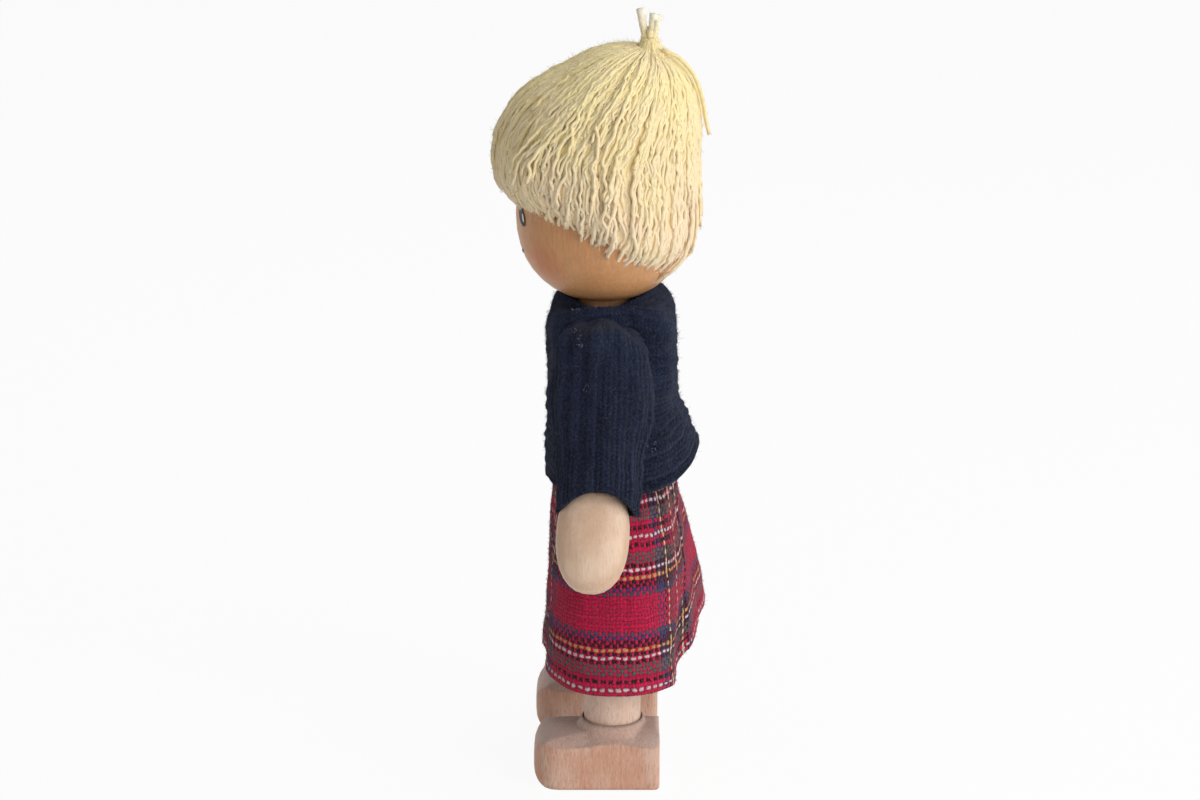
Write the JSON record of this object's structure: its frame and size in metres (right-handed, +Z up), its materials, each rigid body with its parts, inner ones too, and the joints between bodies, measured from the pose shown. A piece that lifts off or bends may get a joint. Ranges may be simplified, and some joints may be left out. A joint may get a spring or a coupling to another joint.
{
  "type": "miniature doll",
  "caption": "Jointed wooden doll for a doll's house, standing on flat feet, with cream yarn hair, a navy ribbed sweater and a gathered red tartan skirt; head, arms and legs move.",
  "frame": {"origin": "on the floor under the middle of the doll", "axes": "+Z up, the doll faces -Y, so its left side is at +X"},
  "size_m": [0.0568, 0.0375, 0.1369],
  "materials": {
    "beech": "sanded smooth, unvarnished",
    "head_wood": "stained tan and waxed to a satin, with painted eyes, mouth and cheeks",
    "cotton_yarn": "soft twisted cotton yarn",
    "navy_knit": "fine rib knit, slightly fuzzy",
    "red_tartan": "plain weave in a traditional red tartan",
    "elastic_band": "flat woven elastic"
  },
  "bodies": {
    "torso": {"torso": "beech", "neck_dowel": "beech", "left_shoulder_peg": "beech", "right_shoulder_peg": "beech", "left_hip_peg": "beech", "right_hip_peg": "beech", "waist_elastic": "elastic_band", "skirt": "red_tartan", "sweater_body": "navy_knit", "sweater_neckband": "navy_knit"},
    "head": {"head": "head_wood", "hair": "cotton_yarn", "hair_tie": "cotton_yarn"},
    "left_arm": {"left_arm": "beech", "left_hand": "beech", "left_sleeve": "navy_knit"},
    "right_arm": {"right_arm": "beech", "right_hand": "beech", "right_sleeve": "navy_knit"},
    "left_leg": {"left_leg": "beech", "left_foot": "beech"},
    "right_leg": {"right_leg": "beech", "right_foot": "beech"}
  },
  "joints": [
    {"name": "neck", "type": "hinge", "parent": "torso", "child": "head", "pos_m": [0, 0.0006, 0.0996], "axis": [0, 0, 1], "continuous": true},
    {"name": "left_shoulder", "type": "hinge", "parent": "torso", "child": "left_arm", "pos_m": [0.0141, 0.0006, 0.079], "axis": [-1, 0, 0], "range_deg": [-60, 120]},
    {"name": "right_shoulder", "type": "hinge", "parent": "torso", "child": "right_arm", "pos_m": [-0.0141, 0.0006, 0.079], "axis": [-1, 0, 0], "range_deg": [-60, 120]},
    {"name": "left_hip", "type": "hinge", "parent": "torso", "child": "left_leg", "pos_m": [0.0107, 0.0022, 0.043], "axis": [-1, 0, 0], "range_deg": [-30, 90], "deforming": ["skirt"]},
    {"name": "right_hip", "type": "hinge", "parent": "torso", "child": "right_leg", "pos_m": [-0.0107, 0.0022, 0.043], "axis": [-1, 0, 0], "range_deg": [-30, 90], "deforming": ["skirt"]}
  ]
}
